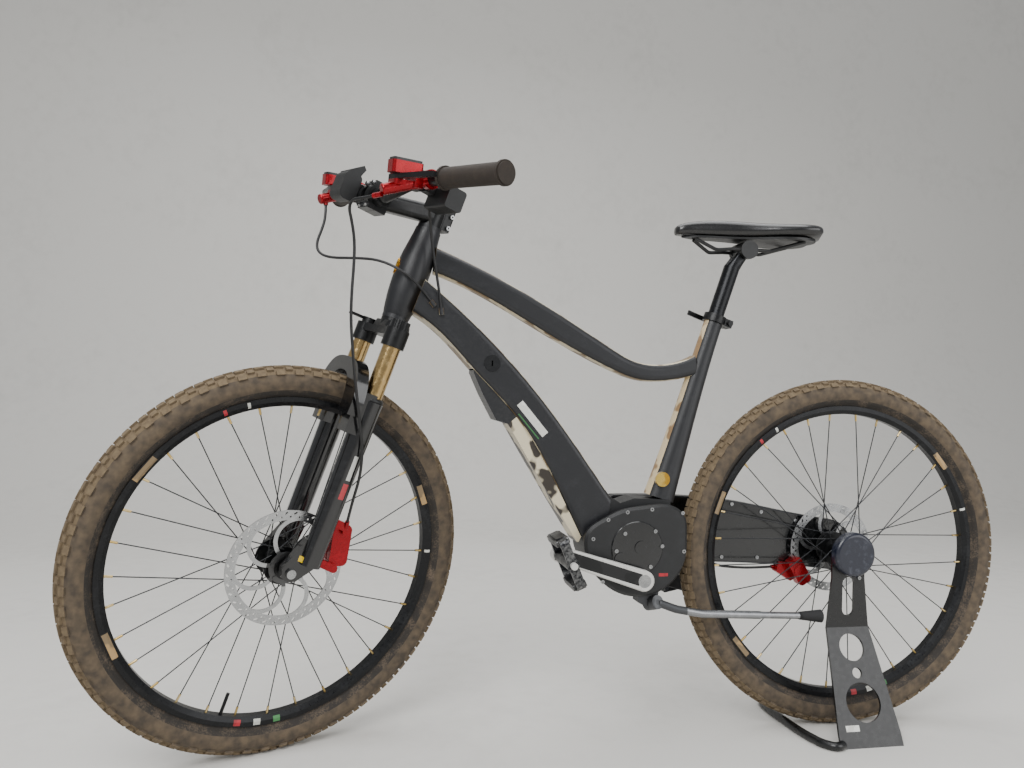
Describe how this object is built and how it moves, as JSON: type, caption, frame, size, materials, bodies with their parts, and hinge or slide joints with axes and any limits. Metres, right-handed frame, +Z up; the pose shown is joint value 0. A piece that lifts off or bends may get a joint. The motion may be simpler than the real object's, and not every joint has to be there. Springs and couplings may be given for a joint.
{
  "type": "bicycle on stand",
  "caption": "Electric hardtail bicycle with a suspension fork, disc brakes and a frame battery, held upright by a one-sided floor stand at its rear axle.",
  "frame": {"origin": "point on the floor where the rear tyre stands, under the rear axle", "axes": "+X forward towards the front wheel, +Y to the rider's left, +Z up"},
  "size_m": [1.7694, 0.625, 1.075],
  "materials": {
    "frame_black": "matt",
    "motor_black": "matt",
    "gloss_black": "gloss",
    "battery_skin": "satin",
    "steel": "satin",
    "black_alloy": "satin anodised",
    "grey_alloy": "cast",
    "brake_red": "anodised",
    "hose": "satin",
    "stand_black": "gloss",
    "cup_blue": "scratched gloss",
    "rim_black": "anodised",
    "tyre": "muddy",
    "spoke": "black",
    "rotor_steel": "brushed",
    "pedal_alloy": "worn",
    "stanchion_gold": "polished anodised",
    "grip": "matt",
    "plastic_black": "matt",
    "plastic_grey": "matt",
    "lowers_black": "gloss",
    "post_alloy": "satin",
    "rail_steel": "black",
    "saddle_cover": "glossy",
    "kick_alloy": "brushed"
  },
  "bodies": {
    "frame": {"head_tube": "frame_black", "top_tube": "frame_black", "down_tube": "frame_black", "seat_tube": "frame_black", "motor_housing": "motor_black", "motor_cover": "motor_black", "motor_round_cover": "gloss_black", "battery": "battery_skin", "frame_screws": "steel", "key_lock": "steel", "chain_arm": "frame_black", "arm_panel": "gloss_black", "seat_collar": "black_alloy", "kickstand_bracket": "grey_alloy", "rear_axle": "steel", "rear_caliper": "brake_red", "frame_hoses": "hose", "chain": "steel", "stand_base": "stand_black", "stand_cup": "cup_blue"},
    "rear_wheel": {"rear_rim": "rim_black", "rear_tyre": "tyre", "rear_spokes": "spoke", "rear_hub": "black_alloy", "rear_rotor": "rotor_steel"},
    "rear_sprocket": {"rear_sprocket": "steel"},
    "drive_sprocket": {"drive_sprocket": "steel"},
    "crank": {"crank_axle": "steel", "crank_arms": "black_alloy"},
    "pedal_left": {"pedal_left": "pedal_alloy"},
    "pedal_right": {"pedal_right": "pedal_alloy"},
    "steering": {"fork_crown": "black_alloy", "stanchions": "stanchion_gold", "stem": "black_alloy", "stem_faceplate": "black_alloy", "stem_bolts": "steel", "handlebar": "black_alloy", "grips": "grip", "brake_masters": "brake_red", "display": "plastic_black", "control_box": "plastic_black", "front_brake_hose": "hose"},
    "brake_lever_left": {"brake_lever_left": "black_alloy"},
    "brake_lever_right": {"brake_lever_right": "black_alloy"},
    "lockout_lever": {"lockout_lever": "black_alloy"},
    "preload_knob": {"preload_knob": "black_alloy"},
    "control_button": {"control_button": "plastic_grey"},
    "lowers": {"fork_lowers": "lowers_black", "front_axle": "steel", "front_caliper": "brake_red"},
    "front_wheel": {"front_rim": "rim_black", "front_tyre": "tyre", "front_spokes": "spoke", "front_hub": "black_alloy", "front_rotor": "rotor_steel"},
    "seatpost": {"seatpost": "post_alloy"},
    "saddle": {"saddle_base": "rail_steel", "saddle_cushion": "saddle_cover"},
    "seat_lever": {"seat_lever": "black_alloy"},
    "kickstand": {"kickstand_leg": "kick_alloy"}
  },
  "joints": [
    {"name": "steering", "type": "hinge", "parent": "frame", "child": "steering", "pos_m": [0.90056, 0, 0.80325], "axis": [-0.3256, 0, 0.9455], "range_deg": [-83.3, 36.7], "deforming": ["frame_hoses"]},
    {"name": "fork_travel", "type": "slide", "parent": "steering", "child": "lowers", "axis": [-0.3256, 0, 0.9455], "range_m": [0, 0.08], "stiffness_N_per_m": 8000, "springref_m": -0.02, "deforming": ["front_brake_hose"]},
    {"name": "front_wheel_spin", "type": "hinge", "parent": "lowers", "child": "front_wheel", "pos_m": [1.10068, 0.01701, 0.34335], "axis": [-0.374, 0.9184, -0.1288], "continuous": true},
    {"name": "rear_wheel_spin", "type": "hinge", "parent": "frame", "child": "rear_wheel", "pos_m": [0, 0, 0.346], "axis": [0, 1, 0], "continuous": true},
    {"name": "crank_spin", "type": "hinge", "parent": "frame", "child": "crank", "pos_m": [0.449, 0, 0.311], "axis": [0, 1, 0], "continuous": true},
    {"name": "drive_sprocket_spin", "type": "hinge", "parent": "frame", "child": "drive_sprocket", "pos_m": [0.45, 0, 0.367], "axis": [0, 1, 0], "continuous": true},
    {"name": "rear_sprocket_spin", "type": "hinge", "parent": "frame", "child": "rear_sprocket", "pos_m": [0, 0, 0.346], "axis": [0, 1, 0], "continuous": true},
    {"name": "pedal_left_spin", "type": "hinge", "parent": "crank", "child": "pedal_left", "pos_m": [0.61113, 0.135, 0.36212], "axis": [0, 1, 0], "continuous": true},
    {"name": "pedal_right_spin", "type": "hinge", "parent": "crank", "child": "pedal_right", "pos_m": [0.28687, -0.149, 0.25988], "axis": [0, 1, 0], "continuous": true},
    {"name": "brake_lever_left_pull", "type": "hinge", "parent": "steering", "child": "brake_lever_left", "pos_m": [0.92729, 0.17667, 0.99165], "axis": [-0.0597, 0.1147, 0.9916], "range_deg": [0, 15], "stiffness_Nm_per_rad": 2, "springref_deg": -5.73},
    {"name": "brake_lever_right_pull", "type": "hinge", "parent": "steering", "child": "brake_lever_right", "pos_m": [1.02304, -0.05845, 1.02462], "axis": [0.0597, -0.1147, -0.9916], "range_deg": [0, 15], "stiffness_Nm_per_rad": 2, "springref_deg": -5.73},
    {"name": "lockout_turn", "type": "hinge", "parent": "steering", "child": "lockout_lever", "pos_m": [0.95341, -0.05337, 0.77386], "axis": [0.3256, 0, -0.9455], "range_deg": [0, 90]},
    {"name": "preload_turn", "type": "hinge", "parent": "steering", "child": "preload_knob", "pos_m": [0.90317, 0.06603, 0.76184], "axis": [-0.3256, 0, 0.9455], "range_deg": [0, 270]},
    {"name": "control_button_press", "type": "slide", "parent": "steering", "child": "control_button", "axis": [-0.8684, -0.3955, -0.299], "range_m": [0, 0.001], "stiffness_N_per_m": 800},
    {"name": "seat_height", "type": "slide", "parent": "frame", "child": "seatpost", "axis": [-0.3156, 0, 0.9489], "range_m": [-0.08, 0.05]},
    {"name": "saddle_tilt", "type": "hinge", "parent": "seatpost", "child": "saddle", "pos_m": [0.226, 0, 0.941], "axis": [0, 1, 0], "range_deg": [-10, 10]},
    {"name": "seat_lever_open", "type": "hinge", "parent": "frame", "child": "seat_lever", "pos_m": [0.25845, -0.022, 0.7951], "axis": [0.3156, 0, -0.9489], "range_deg": [0, 160]},
    {"name": "kickstand_swing", "type": "hinge", "parent": "frame", "child": "kickstand", "pos_m": [0.412, 0.046, 0.262], "axis": [0.3133, -0.8958, -0.3153], "range_deg": [0, 50]}
  ],
  "couplings": [
    {"joint": "drive_sprocket_spin", "follows": "crank_spin", "ratio": 2},
    {"joint": "rear_sprocket_spin", "follows": "crank_spin", "ratio": 2}
  ]
}
